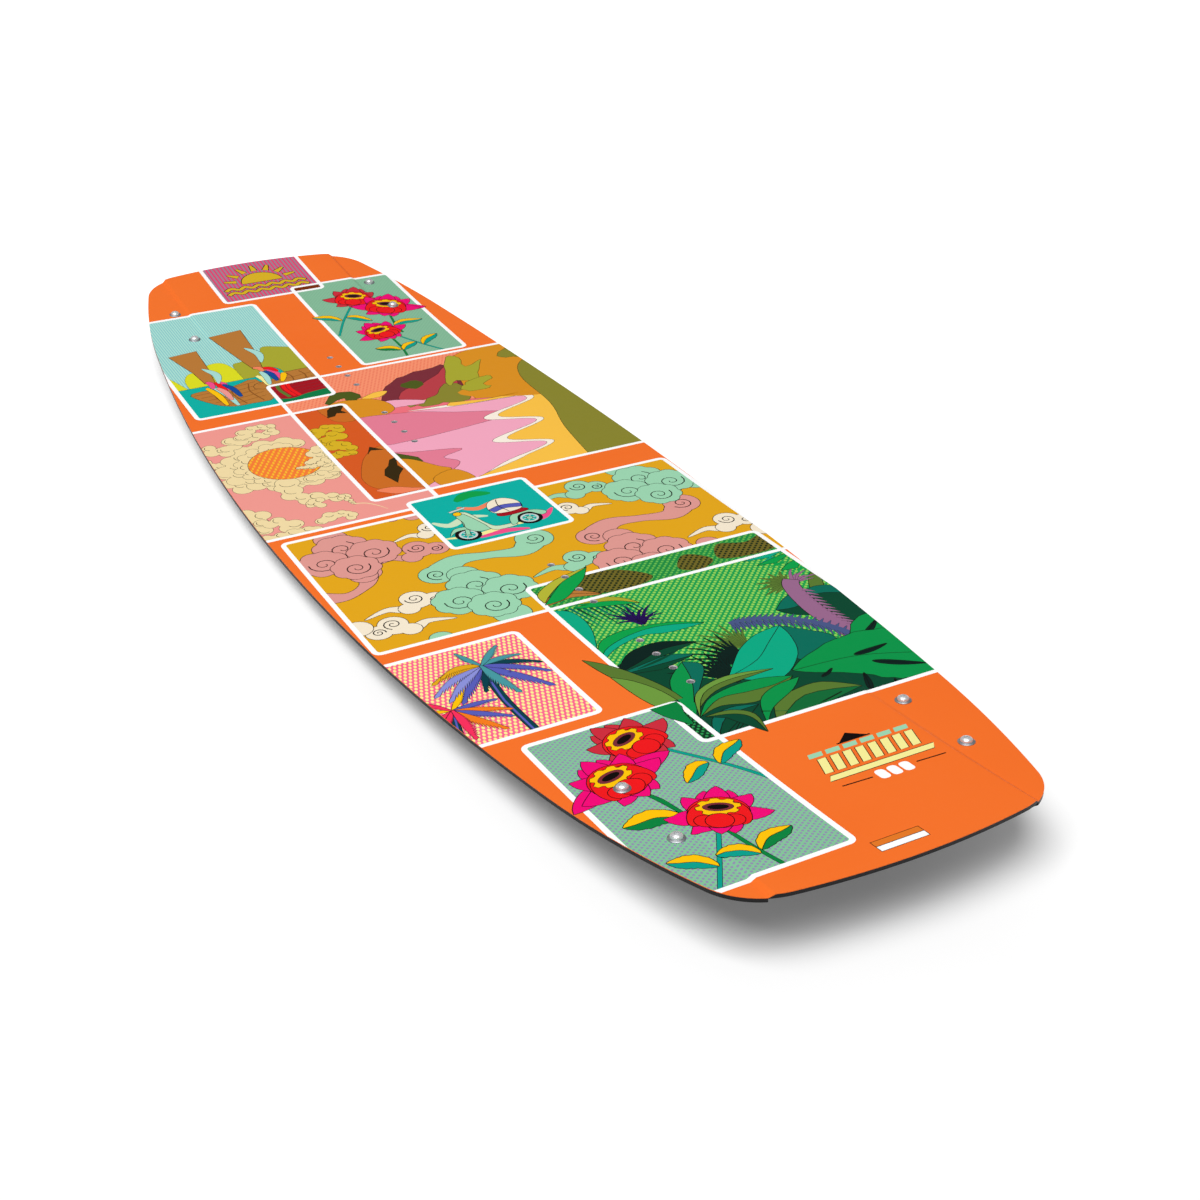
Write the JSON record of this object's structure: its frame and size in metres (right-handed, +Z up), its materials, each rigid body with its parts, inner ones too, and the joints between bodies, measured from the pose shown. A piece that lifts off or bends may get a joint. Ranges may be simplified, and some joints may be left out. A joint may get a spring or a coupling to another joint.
{
  "type": "wakeboard",
  "caption": "Twin-tip wakeboard with continuous rocker, undercut edges, rows of binding inserts, corner fins held by deck screws, and a printed collage deck.",
  "frame": {"origin": "under the middle of the board, on the plane that its flat belly rests on", "axes": "+X along the board towards the nose, +Y across it to the right, +Z up out of the deck"},
  "size_m": [1.3, 0.3936, 0.0535],
  "materials": {
    "topsheet": "printed, satin gloss",
    "laminate": "glass fibre in resin",
    "base": "sintered, satin black",
    "foam": "closed-cell foam",
    "stringer": "sanded",
    "edge": "milled",
    "block": "sawn",
    "insert": "machined",
    "fin": "moulded, fine satin",
    "brass": "machined",
    "screw": "polished",
    "washer": "satin",
    "bush": "moulded"
  },
  "bodies": {
    "root": {"topsheet": "topsheet", "top_laminate": "laminate", "bottom_laminate": "laminate", "base_sheet": "base", "core_middle": "foam", "core_left": "foam", "core_right": "foam", "stringer_left": "stringer", "stringer_right": "stringer", "sidewall_left": "edge", "sidewall_right": "edge", "tip_edge_nose": "edge", "tip_edge_tail": "edge", "binding_block_nose": "block", "binding_inserts_nose": "insert", "binding_block_tail": "block", "binding_inserts_tail": "insert", "fin_block_nose_left": "block", "fin_nose_left": "fin", "fin_nuts_nose_left": "brass", "fin_screws_nose_left": "screw", "fin_washers_nose_left": "washer", "fin_bushes_nose_left": "bush", "fin_block_nose_right": "block", "fin_nose_right": "fin", "fin_nuts_nose_right": "brass", "fin_screws_nose_right": "screw", "fin_washers_nose_right": "washer", "fin_bushes_nose_right": "bush", "fin_block_tail_left": "block", "fin_tail_left": "fin", "fin_nuts_tail_left": "brass", "fin_screws_tail_left": "screw", "fin_washers_tail_left": "washer", "fin_bushes_tail_left": "bush", "fin_block_tail_right": "block", "fin_tail_right": "fin", "fin_nuts_tail_right": "brass", "fin_screws_tail_right": "screw", "fin_washers_tail_right": "washer", "fin_bushes_tail_right": "bush"}
  },
  "joints": []
}
